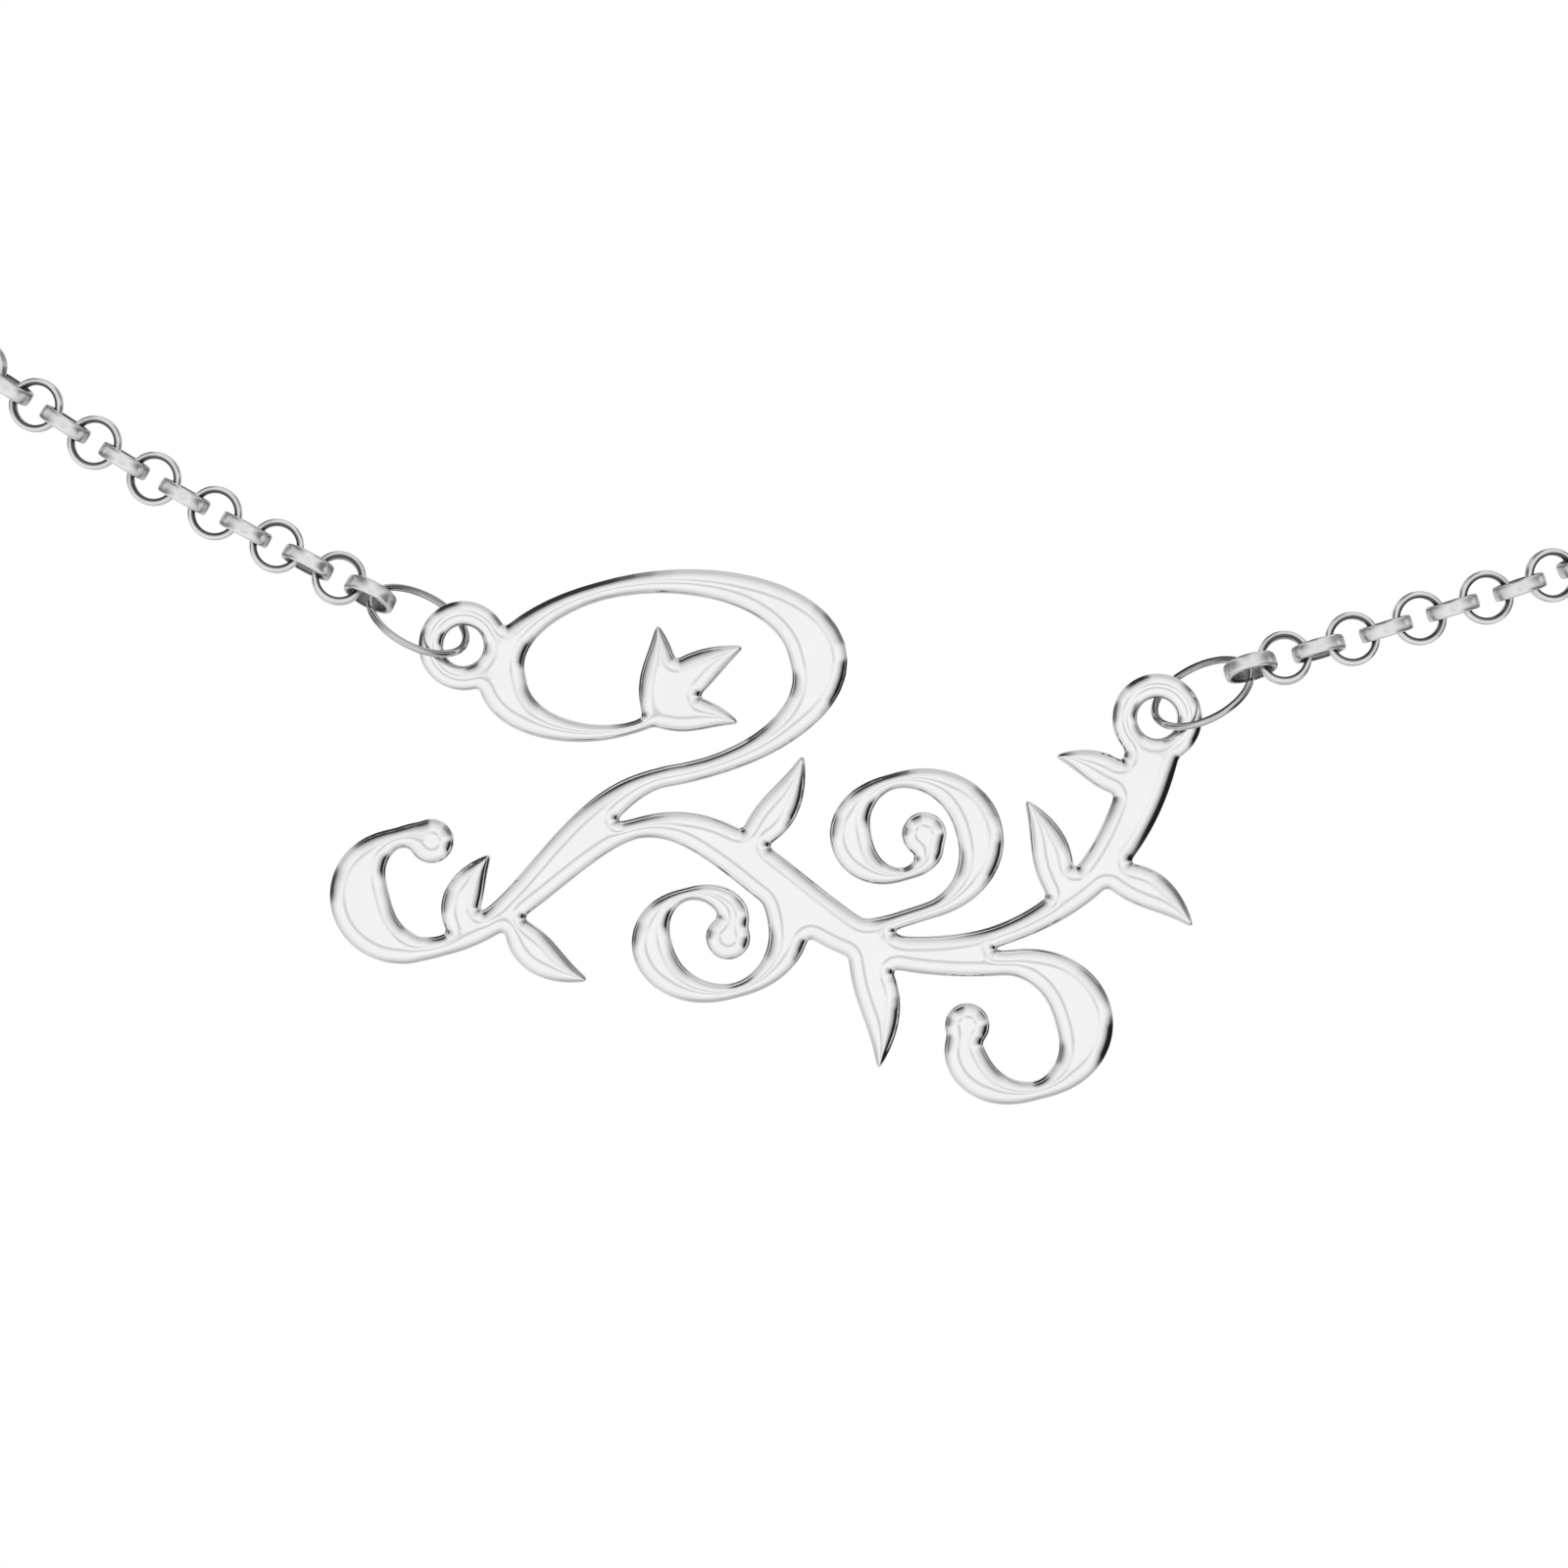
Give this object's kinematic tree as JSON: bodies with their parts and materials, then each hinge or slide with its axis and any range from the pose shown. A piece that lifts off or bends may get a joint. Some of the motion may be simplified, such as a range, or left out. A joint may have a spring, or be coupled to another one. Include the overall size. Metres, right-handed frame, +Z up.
{
  "type": "nameplate necklace",
  "caption": "A pierced scrollwork nameplate, worn at the front of the neck, hung by an eyelet and jump ring at each end from a fine round-link chain with a plain ring clasp.",
  "frame": {"origin": "where the necklace sits on the back of the neck, at the height of the chain's middle there", "axes": "+Z is up, -Y is the front as worn, and +X is the wearer's left, which is the right side as seen from the front"},
  "size_m": [0.116, 0.1165, 0.0763],
  "materials": {
    "plate": "mirror-polished silver",
    "wire": "polished silver wire",
    "chain": "polished silver band links"
  },
  "bodies": {
    "root": {"nameplate": "plate", "jump_ring_left": "wire", "jump_ring_right": "wire", "chain_left": "chain", "chain_right": "chain", "clasp": "wire"}
  },
  "joints": []
}
